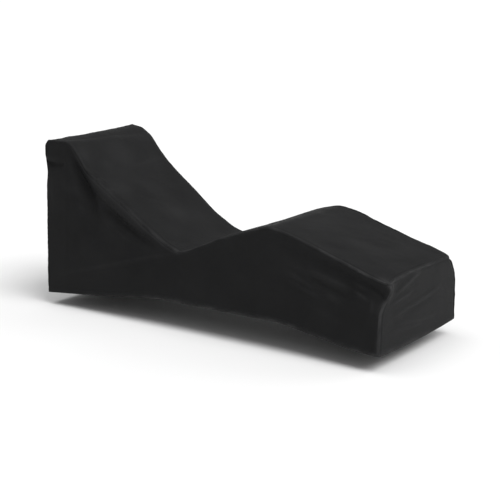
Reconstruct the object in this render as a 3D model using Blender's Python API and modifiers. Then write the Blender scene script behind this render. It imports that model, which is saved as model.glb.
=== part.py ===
"""Fitted weather cover for a wave-shaped chaise longue, as it hangs on the chair.

Five panels of woven cloth are sewn into a shell that is hollow and open below. +X runs from the chair's
head to its foot end, +Y to the sitter's left and +Z up. The origin is where the chair's head rail carries
the cover: on the underside of the top, midway between the sides.

The shell is worked out on a box and then draped. A point on the box has a station x along the length, a
distance y across and a depth below the top. Its edges are rounded first, then the box is bent to the wave
of the chair and flared to the hem, and last the creases are pressed in.
"""

import bmesh
import bpy
import numpy as np

THICKNESS = 0.002  # of the cloth with its coating
SEAM_GAP = 0.0006  # between two panels, measured over the rounded edge they share
GUARD_ROW = 0.001  # a first narrow row of faces, which squares the cut edge to the surface
ROUND_ROW = 0.36  # the next row's distance from the seam, in radii of the rounded edge
HEAD_X = -0.017  # back edge of the head, from the rear feet
FOOT_X = 1.950  # front edge of the leg rest
HEAD_ROUND = 0.010
FOOT_ROUND = 0.018
UPRIGHT_ROUND = 0.013  # of the upright corners, below the shoulder
UPRIGHT_FROM = 0.05  # the depths below the top between which a corner's round changes from one to the other
UPRIGHT_TO = 0.14
ORIGIN_X = 0.045  # the head rail
EDGE_CUT = 1.0 - np.sqrt(0.5)  # how far the middle of a rounded edge lies inside the sharp one, in radii
ROUND_BLEND = 0.20  # half the width over which one side's roundness blends into the other's

# The seams between the top and the two sides: their heights above the floor, how far each lies from the
# middle, how round the edge is that it runs along, and how much higher the top stands midway.
TOP_COLUMNS = ("x", "right_z", "left_z", "half_width", "right_round", "left_round", "crown")
TOP_LINE = (
    (-0.017, 0.849, 0.853, 0.331, 0.010, 0.008, -0.006),
    (0.045, 0.853, 0.844, 0.331, 0.012, 0.014, 0.002),
    (0.105, 0.853, 0.816, 0.328, 0.014, 0.020, 0.002),
    (0.130, 0.842, 0.803, 0.320, 0.020, 0.026, 0.001),
    (0.165, 0.783, 0.783, 0.302, 0.034, 0.034, 0.001),
    (0.210, 0.710, 0.744, 0.290, 0.044, 0.040, 0.000),
    (0.290, 0.653, 0.670, 0.285, 0.048, 0.040, -0.002),
    (0.450, 0.553, 0.551, 0.285, 0.045, 0.038, -0.003),
    (0.610, 0.455, 0.428, 0.288, 0.038, 0.034, -0.003),
    (0.745, 0.388, 0.362, 0.294, 0.026, 0.026, -0.002),
    (0.800, 0.375, 0.357, 0.299, 0.018, 0.020, 0.000),
    (0.840, 0.386, 0.372, 0.302, 0.014, 0.018, 0.000),
    (1.040, 0.471, 0.464, 0.306, 0.012, 0.016, -0.002),
    (1.258, 0.548, 0.545, 0.308, 0.012, 0.014, -0.002),
    (1.340, 0.567, 0.562, 0.309, 0.012, 0.014, -0.001),
    (1.417, 0.555, 0.550, 0.309, 0.012, 0.014, 0.002),
    (1.557, 0.516, 0.508, 0.309, 0.012, 0.014, 0.004),
    (1.792, 0.441, 0.440, 0.310, 0.012, 0.016, 0.006),
    (1.890, 0.408, 0.413, 0.310, 0.013, 0.030, 0.008),
    (1.950, 0.390, 0.388, 0.309, 0.014, 0.044, 0.010),
)

# How each side leaves the chair's seat frame and comes out to the legs: the depths below the top between
# which the cloth steps outwards, and by how much. Below the step it runs straight to the hem.
SIDE_COLUMNS = ("x", "step_from", "step_to", "step_out")
RIGHT_SIDE = (
    (-0.017, 0.05, 0.30, 0.004),
    (0.120, 0.05, 0.30, 0.006),
    (0.170, 0.06, 0.30, 0.018),
    (0.240, 0.08, 0.34, 0.022),
    (0.500, 0.08, 0.30, 0.018),
    (0.720, 0.05, 0.24, 0.014),
    (1.100, 0.04, 0.28, 0.014),
    (1.400, 0.04, 0.30, 0.018),
    (1.700, 0.05, 0.22, 0.026),
    (1.880, 0.06, 0.16, 0.035),
    (1.950, 0.07, 0.14, 0.040),
)
LEFT_SIDE = (
    (-0.017, 0.05, 0.30, 0.004),
    (0.120, 0.05, 0.30, 0.006),
    (0.200, 0.06, 0.30, 0.020),
    (0.500, 0.07, 0.28, 0.020),
    (0.800, 0.04, 0.24, 0.016),
    (1.400, 0.04, 0.28, 0.018),
    (1.800, 0.03, 0.18, 0.030),
    (1.950, 0.00, 0.10, 0.040),
)

# The hem: its height above the floor and its distance from the middle. It is arched along the long sides.
HEM_COLUMNS = ("x", "z", "half_width")
HEM_LINE = (
    (-0.017, 0.061, 0.3665),
    (0.346, 0.098, 0.363),
    (0.620, 0.130, 0.360),
    (0.760, 0.141, 0.358),
    (1.100, 0.142, 0.357),
    (1.400, 0.143, 0.358),
    (1.537, 0.129, 0.360),
    (1.697, 0.105, 0.363),
    (1.852, 0.086, 0.3665),
    (1.950, 0.080, 0.3665),
)
FOOT_HEM_SAG = 0.011  # the hem across the foot end hangs this much lower in the middle

# How far the head's padding pushes the back edge out, by depth below the top.
HEAD_COLUMNS = ("depth", "out")
HEAD_EDGE = (
    (0.000, 0.004),
    (0.035, 0.016),
    (0.100, 0.010),
    (0.155, 0.001),
    (0.250, 0.004),
    (0.400, 0.002),
    (0.790, 0.000),
)
HEAD_BLEND = 0.10  # how far along the sides this push fades out

FOOT_FLARE = 0.001  # the foot end's hem stands this far out from its top edge
CORNER_OUT = 0.028  # the leg rest's right rail end pushes the corner out
CORNER_DEPTH = 0.030
CORNER_TALL = 0.042
CORNER_WIDE = 0.16  # in half widths
FOOT_BLEND = 0.13

# Creases, each a row of (path, depth, width): a path on the panel, how deep the cloth falls in there,
# negative where it stands out, and how wide. Paths on the sides are (x, height), on the top (x, y), and on
# the ends (y, height).
CREASES = {
    "right_side_panel": (
        (((0.160, 0.770), (0.205, 0.695), (0.240, 0.632), (0.285, 0.560), (0.330, 0.500)), 0.022, 0.024),
        (((0.300, 0.570), (0.420, 0.490), (0.520, 0.437), (0.640, 0.375), (0.740, 0.335)), 0.012, 0.022),
        (((-0.010, 0.735), (0.050, 0.731), (0.110, 0.738)), 0.008, 0.016),
        (((0.130, 0.660), (0.170, 0.600), (0.215, 0.530)), -0.005, 0.022),
        (((0.060, 0.180), (0.350, 0.250), (0.640, 0.325), (0.800, 0.350)), -0.005, 0.026),
        (((1.400, 0.430), (1.520, 0.400), (1.650, 0.350), (1.760, 0.300)), 0.005, 0.030),
        (((1.560, 0.420), (1.690, 0.375), (1.800, 0.330), (1.880, 0.285)), -0.005, 0.024),
        (((1.840, 0.372), (1.900, 0.366), (1.938, 0.345)), 0.010, 0.022),
    ),
    "left_side_panel": (
        (((0.170, 0.750), (0.230, 0.640), (0.300, 0.520)), 0.014, 0.028),
        (((0.320, 0.530), (0.480, 0.430), (0.660, 0.340)), 0.008, 0.026),
        (((0.100, 0.200), (0.420, 0.270), (0.760, 0.335)), -0.005, 0.030),
        (((1.430, 0.440), (1.600, 0.370), (1.740, 0.300)), 0.006, 0.030),
    ),
    "foot_end_panel": (
        (((-0.270, 0.250), (-0.150, 0.310), (-0.020, 0.345)), 0.004, 0.022),
        (((-0.240, 0.190), (-0.050, 0.255), (0.180, 0.300)), -0.004, 0.024),
    ),
    "head_end_panel": (
        (((-0.250, 0.700), (0.000, 0.690), (0.250, 0.705)), 0.008, 0.030),
        (((-0.200, 0.560), (-0.040, 0.360), (0.060, 0.200)), -0.006, 0.050),
        (((0.230, 0.600), (0.140, 0.400), (0.110, 0.240)), 0.006, 0.045),
    ),
    "top_panel": (
        (((0.240, -0.180), (0.380, -0.020), (0.520, 0.080)), 0.003, 0.050),
        (((0.900, -0.200), (0.820, 0.000), (0.880, 0.200)), 0.003, 0.060),
    ),
}
CREASE_FADE = 0.022  # creases die out this near a seam or hem
CREASE_STEPS = 32
CREASE_TIP = 0.02  # of a crease's length, at each end, where its depth stops fading

# Rows of faces: (end, spacing), how far each zone of the length runs and how far apart its rows are.
ROW_ZONES = (
    (0.10, 0.040),
    (0.26, 0.027),
    (0.72, 0.046),
    (0.86, 0.023),
    (1.26, 0.058),
    (1.42, 0.027),
    (1.90, 0.060),
)
LAST_SPACING = 0.034
DOWN_STEPS = (0.024, 0.050, 0.084)  # below the rounded edge, close enough to carry the creases there
DOWN_SHARES = (0.09, 0.22, 0.38, 0.57, 0.78, 1.0)  # of the rest of the way down to the hem
ACROSS_ROWS = 6

CLOTH_COLOUR = (0.022, 0.022, 0.023, 1.0)
CLOTH_ROUGHNESS = 0.72


def column(table, columns, name):
    return np.array([row[columns.index(name)] for row in table])


def read_table(table, columns, name, at):
    """A smooth curve through the table's column that never swings past its rows."""
    x = column(table, columns, columns[0])
    y = column(table, columns, name)
    step = np.diff(x)
    rise = np.diff(y) / step
    slope = np.zeros_like(y)
    turning = rise[:-1] * rise[1:] > 0
    left = 2 * step[1:] + step[:-1]
    right = step[1:] + 2 * step[:-1]
    with np.errstate(divide="ignore", invalid="ignore"):
        mean = (left + right) / (left / rise[:-1] + right / rise[1:])
    slope[1:-1] = np.where(turning, mean, 0.0)
    slope[0], slope[-1] = rise[0], rise[-1]
    at = np.clip(at, x[0], x[-1])
    k = np.clip(np.searchsorted(x, at) - 1, 0, len(step) - 1)
    u = (at - x[k]) / step[k]
    start = (1 + 2 * u) * (1 - u) ** 2 * y[k] + u * (1 - u) ** 2 * step[k] * slope[k]
    end = u * u * (3 - 2 * u) * y[k + 1] + u * u * (u - 1) * step[k] * slope[k + 1]
    return start + end


def top(name, x):
    return read_table(TOP_LINE, TOP_COLUMNS, name, x)


def ease(low, high, value):
    """0 up to low, 1 from high on, and a smooth rise between them."""
    u = np.clip((value - low) / (high - low), 0.0, 1.0)
    return u * u * (3 - 2 * u)


def edge_round(x, y):
    """How round the edges are: the right side's roundness blends into the left side's across the middle."""
    to_left = ease(-ROUND_BLEND, ROUND_BLEND, y)
    return top("right_round", x) * (1 - to_left) + top("left_round", x) * to_left


def top_half_width(x, y):
    return top("half_width", x) + EDGE_CUT * edge_round(x, y)


def top_height(x, y):
    """Height above the floor of the top's surface, before its edges are rounded."""
    across = np.clip(y / top_half_width(x, y), -1.0, 1.0)
    right = top("right_z", x) + EDGE_CUT * top("right_round", x)
    left = top("left_z", x) + EDGE_CUT * top("left_round", x)
    return right + (left - right) * (across + 1) / 2 + top("crown", x) * (1 - across**2)


def drop_to_hem(x, y):
    across = np.clip(y / top_half_width(x, y), -1.0, 1.0)
    sag = FOOT_HEM_SAG * (1 - across**2) * ease(-FOOT_BLEND, 0, x - FOOT_X)
    return top_height(x, y) - read_table(HEM_LINE, HEM_COLUMNS, "z", x) + sag


def half_width(x, y, depth):
    """Distance of the side from the middle, at a depth below the top."""
    steps = [
        np.where(
            y < 0,
            read_table(RIGHT_SIDE, SIDE_COLUMNS, name, x),
            read_table(LEFT_SIDE, SIDE_COLUMNS, name, x),
        )
        for name in SIDE_COLUMNS[1:]
    ]
    start = top_half_width(x, y)
    hem = read_table(HEM_LINE, HEM_COLUMNS, "half_width", x)
    rest = hem - start - steps[2]
    return start + steps[2] * ease(steps[0], steps[1], depth) + rest * depth / drop_to_hem(x, y)


def rounded(x, y, depth, width):
    """A point of the sharp-edged box, moved in onto the rounded edges."""
    shoulder = edge_round(x, y)
    radius = shoulder + (UPRIGHT_ROUND - shoulder) * ease(UPRIGHT_FROM, UPRIGHT_TO, depth)
    end_radius = np.where(x < (HEAD_X + FOOT_X) / 2, HEAD_ROUND, FOOT_ROUND)
    centre_x = np.clip(x, HEAD_X + HEAD_ROUND, FOOT_X - FOOT_ROUND)
    centre_y = np.clip(y, radius - width, width - radius)
    centre_depth = np.maximum(depth, radius)
    past_x = (x - centre_x) / end_radius
    past_y = (y - centre_y) / radius
    past_depth = (depth - centre_depth) / radius
    reach = np.maximum(np.sqrt(past_x**2 + past_y**2 + past_depth**2), 1.0)
    return (
        centre_x + (x - centre_x) / reach,
        centre_y + (y - centre_y) / reach,
        centre_depth + (depth - centre_depth) / reach,
    )


def draped(x, y, depth):
    """Places box points where the cloth hangs, as positions above the floor, between the rear feet."""
    width = half_width(x, y, depth)
    rx, ry, rq = rounded(x, y, depth, width)
    height = top_height(rx, ry * top_half_width(x, y) / width) - rq
    head_out = read_table(HEAD_EDGE, HEAD_COLUMNS, "out", depth) * (1 - ease(0, HEAD_BLEND, rx - HEAD_X))
    from_corner = ((y / width + 1) / CORNER_WIDE) ** 2 + ((depth - CORNER_DEPTH) / CORNER_TALL) ** 2
    corner = np.exp(-from_corner)
    push = CORNER_OUT * corner + FOOT_FLARE * depth / drop_to_hem(x, y)
    foot_out = push * ease(-FOOT_BLEND, 0, rx - FOOT_X)
    return np.stack([rx - head_out + foot_out, ry, height], axis=-1)


def crease_path(points):
    """Evenly spaced places along a smooth curve through the points."""
    points = np.array(points)
    knots = np.linspace(0, 1, len(points))
    at = np.linspace(0, 1, CREASE_STEPS)
    rows = tuple(zip(knots, *points.T))
    names = ("at", "a", "b")
    return np.stack([read_table(rows, names, "a", at), read_table(rows, names, "b", at)], axis=-1)


def crease_depth(name, flat):
    """How far each place on a panel is pressed in, for its position in the panel's own plane."""
    total = np.zeros(flat.shape[:2])
    for path, depth, width in CREASES[name]:
        line = crease_path(path)
        gap = np.linalg.norm(flat[:, :, None, :] - line, axis=-1)
        nearest = gap.argmin(axis=-1) / (CREASE_STEPS - 1)
        fade = np.sqrt(np.sin(np.pi * np.clip(nearest, CREASE_TIP, 1 - CREASE_TIP)))
        total += depth * fade * np.exp(-((gap.min(axis=-1) / width) ** 2))
    return total


def surface_normals(points, outward):
    along = np.gradient(points, axis=0)
    across = np.gradient(points, axis=1)
    normals = np.cross(along, across)
    normals /= np.linalg.norm(normals, axis=-1, keepdims=True)
    facing = np.sign((normals * outward).sum(axis=-1).mean())
    return normals * facing


def seam_fade(points):
    """0 at the panel's outline and 1 inside it."""
    middle = np.ones(points.shape[:2])
    for axis in (0, 1):
        steps = np.linalg.norm(np.diff(points, axis=axis), axis=-1)
        run = np.cumsum(steps, axis=axis)
        pad = [(0, 0), (0, 0)]
        pad[axis] = (1, 0)
        run = np.pad(run, pad)
        end = np.take(run, [-1], axis=axis)
        middle *= ease(0, CREASE_FADE, run) * ease(0, CREASE_FADE, end - run)
    return middle


def pressed(name, points, flat_axes, outward):
    flat = points[:, :, flat_axes]
    depth = crease_depth(name, flat) * seam_fade(points)
    return points - surface_normals(points, outward) * depth[:, :, None]


def edge_rows(radius):
    """Distances from a seam of the first rows of faces, which carry the rounded edge."""
    cut = np.full_like(radius, SEAM_GAP)
    return np.stack([cut, cut + GUARD_ROW, np.maximum(ROUND_ROW * radius, cut + 2 * GUARD_ROW), radius])


def length_rows():
    stops = [HEAD_X + edge_rows(np.array(HEAD_ROUND))]
    start = HEAD_X + HEAD_ROUND
    last_zone = FOOT_X - FOOT_ROUND
    for end, spacing in ROW_ZONES + ((last_zone, LAST_SPACING),):
        count = max(1, round((end - start) / spacing))
        stops.append(np.linspace(start, end, count + 1)[1:])
        start = end
    stops.append((FOOT_X - edge_rows(np.array(FOOT_ROUND)))[::-1][1:])
    return np.concatenate(stops)


def rows_between(right_edge, left_edge, right_radius, left_radius):
    """Distances from the middle of the rows that run from the right edge to the left one."""
    right = right_edge + edge_rows(right_radius)
    left = left_edge - edge_rows(left_radius)[::-1]
    share = np.linspace(0, 1, ACROSS_ROWS + 1)[1:-1, None]
    middle = right[-1] + (left[0] - right[-1]) * share
    return np.concatenate([right, middle, left]).T


def rows_down(x, y, radius):
    first = edge_rows(radius)
    near = first[-1] + np.array(DOWN_STEPS)[:, None]
    rest = near[-1] + (drop_to_hem(x, y) - near[-1]) * np.array(DOWN_SHARES)[:, None]
    return np.concatenate([first, near, rest]).T


def top_panel():
    x = length_rows()
    right_edge = -top_half_width(x, -np.ones_like(x))
    left_edge = top_half_width(x, np.ones_like(x))
    y = rows_between(right_edge, left_edge, top("right_round", x), top("left_round", x))
    x = np.repeat(x[:, None], y.shape[1], axis=1)
    points = draped(x, y, np.zeros_like(x))
    return pressed("top_panel", points, [0, 1], (0, 0, 1))


def side_panel(name, side):
    x = length_rows()
    edge = np.full_like(x, side)
    depth = rows_down(x, edge, edge_round(x, edge))
    x = np.repeat(x[:, None], depth.shape[1], axis=1)
    y = side * half_width(x, np.full_like(x, side), depth)
    return pressed(name, draped(x, y, depth), [0, 2], (0, side, 0))


def end_panel(name, end_x, facing):
    """Its rows meet those of both sides and its columns meet those of the top."""
    end = np.array([end_x])
    right = rows_down(end, -np.ones(1), top("right_round", end))[0]
    left = rows_down(end, np.ones(1), top("left_round", end))[0]
    ends = np.full_like(right, end_x)
    right_edge = -half_width(ends, -np.ones_like(ends), right)
    left_edge = half_width(ends, np.ones_like(ends), left)
    y = rows_between(right_edge, left_edge, top("right_round", ends), top("left_round", ends))
    share = (y - right_edge[:, None]) / (left_edge - right_edge)[:, None]
    depth = right[:, None] + (left - right)[:, None] * share
    x = np.full_like(y, end_x)
    return pressed(name, draped(x, y, depth), [1, 2], (facing, 0, 0))


def cloth_material(name):
    material = bpy.data.materials.new(name)
    material.use_nodes = True
    shader = material.node_tree.nodes["Principled BSDF"]
    shader.inputs["Base Color"].default_value = CLOTH_COLOUR
    shader.inputs["Roughness"].default_value = CLOTH_ROUGHNESS
    shader.inputs["Metallic"].default_value = 0.0
    return material


def build_panel(name, points, outward, collection):
    """One panel: a grid laid onto its worked-out places, given the cloth's thickness on its inner side."""
    rows, columns = points.shape[:2]
    mesh = bpy.data.meshes.new(name)
    bm = bmesh.new()
    bmesh.ops.create_grid(bm, x_segments=rows - 1, y_segments=columns - 1, size=0.5)
    for vertex in bm.verts:
        i = round((vertex.co.x + 0.5) * (rows - 1))
        j = round((vertex.co.y + 0.5) * (columns - 1))
        vertex.co = points[i, j]
    bm.normal_update()
    facing = sum(face.normal.dot(outward) * face.calc_area() for face in bm.faces)
    if facing < 0:
        bmesh.ops.reverse_faces(bm, faces=bm.faces)
    bm.to_mesh(mesh)
    bm.free()
    mesh.shade_smooth()
    panel = bpy.data.objects.new(name, mesh)
    panel.data.materials.append(cloth_material(name + "_cloth"))
    collection.objects.link(panel)
    wall = panel.modifiers.new("cloth_thickness", "SOLIDIFY")
    wall.thickness = THICKNESS
    wall.offset = -1.0
    return panel


def main():
    for leftover in list(bpy.data.objects):
        bpy.data.objects.remove(leftover)
    collection = bpy.data.collections.new("lounge_chair_cover")
    bpy.context.scene.collection.children.link(collection)
    origin = np.array([ORIGIN_X, 0.0, float(top_height(ORIGIN_X, 0.0)) - THICKNESS])
    panels = {
        "top_panel": (top_panel(), (0, 0, 1)),
        "right_side_panel": (side_panel("right_side_panel", -1.0), (0, -1, 0)),
        "left_side_panel": (side_panel("left_side_panel", 1.0), (0, 1, 0)),
        "foot_end_panel": (end_panel("foot_end_panel", FOOT_X, 1.0), (1, 0, 0)),
        "head_end_panel": (end_panel("head_end_panel", HEAD_X, -1.0), (-1, 0, 0)),
    }
    for name, (points, outward) in panels.items():
        build_panel(name, points - origin, outward, collection)
    print("origin stands", round(origin[2], 4), "m above the floor")


main()
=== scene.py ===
# %% [markdown]
# # A fitted cover for a wave-shaped lounge chair
#
# Charcoal polyester is cut into five panels, sewn into a shell and pulled over the chair. The chair
# isn't here: the shell hangs in the shape that the head, backrest, seat, knee and leg rest give it.
#
# The packed model holds the same five panels as plain sheets. This lesson makes each one again as
# thin cloth, with its folds, laps, hem and stitches, and gives it a woven finish.

import math

import bpy
import numpy as np
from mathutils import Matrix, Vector


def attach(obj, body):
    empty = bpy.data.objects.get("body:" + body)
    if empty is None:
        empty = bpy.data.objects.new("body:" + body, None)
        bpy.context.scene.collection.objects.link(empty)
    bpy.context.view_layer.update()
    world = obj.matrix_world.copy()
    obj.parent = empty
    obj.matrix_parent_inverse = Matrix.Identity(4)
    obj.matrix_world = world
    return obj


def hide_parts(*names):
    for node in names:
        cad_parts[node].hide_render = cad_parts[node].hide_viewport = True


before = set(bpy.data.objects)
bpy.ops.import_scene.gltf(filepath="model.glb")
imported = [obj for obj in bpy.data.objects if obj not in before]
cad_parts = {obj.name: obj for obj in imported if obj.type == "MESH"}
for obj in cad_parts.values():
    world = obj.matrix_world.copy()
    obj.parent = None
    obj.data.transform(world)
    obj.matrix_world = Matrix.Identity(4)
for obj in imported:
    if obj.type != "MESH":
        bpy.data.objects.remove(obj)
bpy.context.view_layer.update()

# %% [markdown]
# ## The sizes that shape the cover
#
# x runs from the head to the foot end, y to the sitter's left, and heights are above the floor that
# the chair stands on. Tables are in millimetres, which read best in rows, and every other length is
# in metres. A short table with a row for each change of shape says more about a cover than a long
# list of points would, and a smooth curve through its rows does the rest.

# %% The seams, the sides and the hem
MILLIMETRES = 1000
HEAD_X = -0.017
FOOT_X = 1.950


def metres(names, *rows):
    """A table in metres, from rows in millimetres; its first row names its columns."""
    return (names.split(), *(tuple(length / MILLIMETRES for length in row) for row in rows))


TOP_LINE = metres(
    "x right_z left_z half_width right_round left_round crown",
    (-17, 849, 853, 331, 10, 8, -6),
    (45, 853, 844, 331, 12, 14, 2),
    (105, 853, 816, 328, 14, 20, 2),
    (130, 842, 803, 320, 20, 26, 1),
    (165, 783, 783, 302, 34, 34, 1),
    (210, 710, 744, 290, 44, 40, 0),
    (290, 653, 670, 285, 48, 40, -2),
    (450, 553, 551, 285, 45, 38, -3),
    (610, 455, 428, 288, 38, 34, -3),
    (745, 388, 362, 294, 26, 26, -2),
    (800, 375, 357, 299, 18, 20, 0),
    (840, 386, 372, 302, 14, 18, 0),
    (1040, 471, 464, 306, 12, 16, -2),
    (1258, 548, 545, 308, 12, 14, -2),
    (1340, 567, 562, 309, 12, 14, -1),
    (1417, 555, 550, 309, 12, 14, 2),
    (1557, 516, 508, 309, 12, 14, 4),
    (1792, 441, 440, 310, 12, 16, 6),
    (1890, 408, 413, 310, 13, 30, 8),
    (1950, 390, 388, 309, 14, 44, 10),
)

RIGHT_SIDE = metres(
    "x step_from step_to step_out",
    (-17, 50, 300, 4),
    (120, 50, 300, 6),
    (170, 60, 300, 18),
    (240, 80, 340, 22),
    (500, 80, 300, 18),
    (720, 50, 240, 14),
    (1100, 40, 280, 14),
    (1400, 40, 300, 18),
    (1700, 50, 220, 26),
    (1880, 60, 160, 35),
    (1950, 70, 140, 40),
)
LEFT_SIDE = metres(
    "x step_from step_to step_out",
    (-17, 50, 300, 4),
    (120, 50, 300, 6),
    (200, 60, 300, 20),
    (500, 70, 280, 20),
    (800, 40, 240, 16),
    (1400, 40, 280, 18),
    (1800, 30, 180, 30),
    (1950, 0, 100, 40),
)

HEM_LINE = metres(
    "x z half_width",
    (-17, 61, 366.5),
    (346, 98, 363),
    (620, 130, 360),
    (760, 141, 358),
    (1100, 142, 357),
    (1400, 143, 358),
    (1537, 129, 360),
    (1697, 105, 363),
    (1852, 86, 366.5),
    (1950, 80, 366.5),
)

HEAD_EDGE = metres(
    "depth out",
    (0, 4),
    (35, 16),
    (100, 10),
    (155, 1),
    (250, 4),
    (400, 2),
    (790, 0),
)
print("from head to foot end:", round(FOOT_X - HEAD_X, 3), "m")

# %% [markdown]
# ## Reading a table as a smooth curve
#
# A cubic curve through the rows could swing past them and put a bump where the cloth has none. This
# one takes gentler slopes between rows that rise and fall, so it never leaves the range of its
# neighbours.

# %% Smooth curves and gentle steps
def column(table, name):
    return np.array([row[table[0].index(name)] for row in table[1:]])


def read_table(table, name, at):
    """A smooth curve through the table's column that never swings past its rows."""
    x = column(table, table[0][0])
    y = column(table, name)
    step = np.diff(x)
    rise = np.diff(y) / step
    slope = np.zeros_like(y)
    turning = rise[:-1] * rise[1:] > 0
    left = 2 * step[1:] + step[:-1]
    right = step[1:] + 2 * step[:-1]
    with np.errstate(divide="ignore", invalid="ignore"):
        mean = (left + right) / (left / rise[:-1] + right / rise[1:])
    slope[1:-1] = np.where(turning, mean, 0.0)
    slope[0], slope[-1] = rise[0], rise[-1]
    at = np.clip(at, x[0], x[-1])
    k = np.clip(np.searchsorted(x, at) - 1, 0, len(step) - 1)
    u = (at - x[k]) / step[k]
    start = (1 + 2 * u) * (1 - u) ** 2 * y[k] + u * (1 - u) ** 2 * step[k] * slope[k]
    end = u * u * (3 - 2 * u) * y[k + 1] + u * u * (u - 1) * step[k] * slope[k + 1]
    return start + end


def ease(low, high, value):
    """0 up to low, 1 from high on, and a smooth rise between them."""
    u = np.clip((value - low) / (high - low), 0.0, 1.0)
    return u * u * (3 - 2 * u)


print("top of the knee:", round(float(read_table(TOP_LINE, "right_z", 1.34)), 3), "m up")

# %% [markdown]
# ## From a box to a draped shell
#
# The cover is easiest to think of as a box with rounded edges, because every seam then runs along
# an edge of the box. A place on the box is a station x, a distance y across and a depth below the
# top. First come the box's own sizes, which change along the cover: how wide and high its top is,
# how far the cloth drops to the hem, and how the sides flare out to the legs.

# %% How wide and high the box is
EDGE_CUT = 1.0 - math.sqrt(0.5)
ROUND_BLEND = 0.20
FOOT_BLEND = 0.13
FOOT_HEM_SAG = 0.011


def top(name, x):
    return read_table(TOP_LINE, name, x)


def edge_round(x, y):
    """How round the edges are: the right side's roundness blends into the left side's."""
    to_left = ease(-ROUND_BLEND, ROUND_BLEND, y)
    return top("right_round", x) * (1 - to_left) + top("left_round", x) * to_left


def top_half_width(x, y):
    return top("half_width", x) + EDGE_CUT * edge_round(x, y)


def top_height(x, y):
    """Height above the floor of the top's surface, before its edges are rounded."""
    across = np.clip(y / top_half_width(x, y), -1.0, 1.0)
    right = top("right_z", x) + EDGE_CUT * top("right_round", x)
    left = top("left_z", x) + EDGE_CUT * top("left_round", x)
    return right + (left - right) * (across + 1) / 2 + top("crown", x) * (1 - across**2)


def drop_to_hem(x, y):
    across = np.clip(y / top_half_width(x, y), -1.0, 1.0)
    sag = FOOT_HEM_SAG * (1 - across**2) * ease(-FOOT_BLEND, 0, x - FOOT_X)
    return top_height(x, y) - read_table(HEM_LINE, "z", x) + sag


def half_width(x, y, depth):
    """Distance of the side from the middle, at a depth below the top."""
    start_at, end_at, out = [
        np.where(y < 0, read_table(RIGHT_SIDE, name, x), read_table(LEFT_SIDE, name, x))
        for name in ("step_from", "step_to", "step_out")
    ]
    start = top_half_width(x, y)
    rest = read_table(HEM_LINE, "half_width", x) - start - out
    return start + out * ease(start_at, end_at, depth) + rest * depth / drop_to_hem(x, y)


print("the seat's lowest place:", round(float(top_height(0.8, 0.0)), 3), "m up")

# %% [markdown]
# ## Rounding the edges and draping the box
#
# Every edge of the box gets a radius: a place that lies past the centre of the rounding moves in
# onto a ball about that centre. Then the box is bent to the chair's wave. The head's padding pushes
# the cloth out at the back, and one foot corner sticks out where the cloth hangs double.

# %% Round the edges and bend the box
HEAD_ROUND = 0.010
FOOT_ROUND = 0.018
UPRIGHT_ROUND = 0.013
UPRIGHT_FROM = 0.05
UPRIGHT_TO = 0.14
HEAD_BLEND = 0.10
FOOT_FLARE = 0.001
CORNER_OUT = 0.028
CORNER_DEPTH = 0.030
CORNER_TALL = 0.042
CORNER_WIDE = 0.16
ORIGIN_X = 0.045
FRAME_SHEET = 0.002


def rounded(x, y, depth, width):
    """A point of the sharp-edged box, moved in onto the rounded edges."""
    shoulder = edge_round(x, y)
    radius = shoulder + (UPRIGHT_ROUND - shoulder) * ease(UPRIGHT_FROM, UPRIGHT_TO, depth)
    end_radius = np.where(x < (HEAD_X + FOOT_X) / 2, HEAD_ROUND, FOOT_ROUND)
    centre_x = np.clip(x, HEAD_X + HEAD_ROUND, FOOT_X - FOOT_ROUND)
    centre_y = np.clip(y, radius - width, width - radius)
    centre_depth = np.maximum(depth, radius)
    past_x = (x - centre_x) / end_radius
    past_y = (y - centre_y) / radius
    past_depth = (depth - centre_depth) / radius
    reach = np.maximum(np.sqrt(past_x**2 + past_y**2 + past_depth**2), 1.0)
    return (
        centre_x + (x - centre_x) / reach,
        centre_y + (y - centre_y) / reach,
        centre_depth + (depth - centre_depth) / reach,
    )


def draped(x, y, depth):
    """Places box points where the cloth hangs, as positions above the floor, between the rear feet."""
    width = half_width(x, y, depth)
    on_x, on_y, on_depth = rounded(x, y, depth, width)
    height = top_height(on_x, on_y * top_half_width(x, y) / width) - on_depth
    head_out = read_table(HEAD_EDGE, "out", depth) * (1 - ease(0, HEAD_BLEND, on_x - HEAD_X))
    from_corner = ((y / width + 1) / CORNER_WIDE) ** 2 + ((depth - CORNER_DEPTH) / CORNER_TALL) ** 2
    push = CORNER_OUT * np.exp(-from_corner) + FOOT_FLARE * depth / drop_to_hem(x, y)
    foot_out = push * ease(-FOOT_BLEND, 0, on_x - FOOT_X)
    return np.stack([on_x - head_out + foot_out, on_y, height], axis=-1)


origin = np.array([ORIGIN_X, 0.0, float(top_height(ORIGIN_X, 0.0)) - FRAME_SHEET])
print("the head rail carries the cover", round(origin[2], 3), "m above the floor")

# %% [markdown]
# ## Where the rows of faces go
#
# A seam has a lap only a few millimetres wide, and the middle of a panel is almost flat. Rows that
# are fine at a seam or a hem and wider between them show both, without spending faces where nothing
# bends. The panels lap: the top lies over the sides and ends, and the ends lie over the sides, as
# rain would want it. Each upper panel runs on past the edge by LAP, and the lower one runs on under
# it.

# %% Rows that are fine at both ends
LAP = 0.007
UNDER_LAP = 0.006
FINE_STEP = 0.0016
LAP_TAPER = 0.03
LAP_LEAST = 0.08


def spaced(start, end, fine, step, lean=0.0):
    """Stops from start to end, fine near both ends; a lean puts more of them near the start."""
    head = start + np.arange(0, fine[0], FINE_STEP)
    tail = end - np.arange(0, fine[1], FINE_STEP)[::-1]
    low = head[-1] + FINE_STEP
    high = tail[0] - FINE_STEP
    share = np.linspace(0, 1, round((high - low) / step))
    share = (1 - lean) * share + lean * share**2
    return np.concatenate([head, low + (high - low) * share, tail])


def corner_taper(distance):
    """A lap narrows to almost nothing where two seams meet."""
    return LAP_LEAST + (1 - LAP_LEAST) * ease(0, LAP_TAPER, distance)


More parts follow.
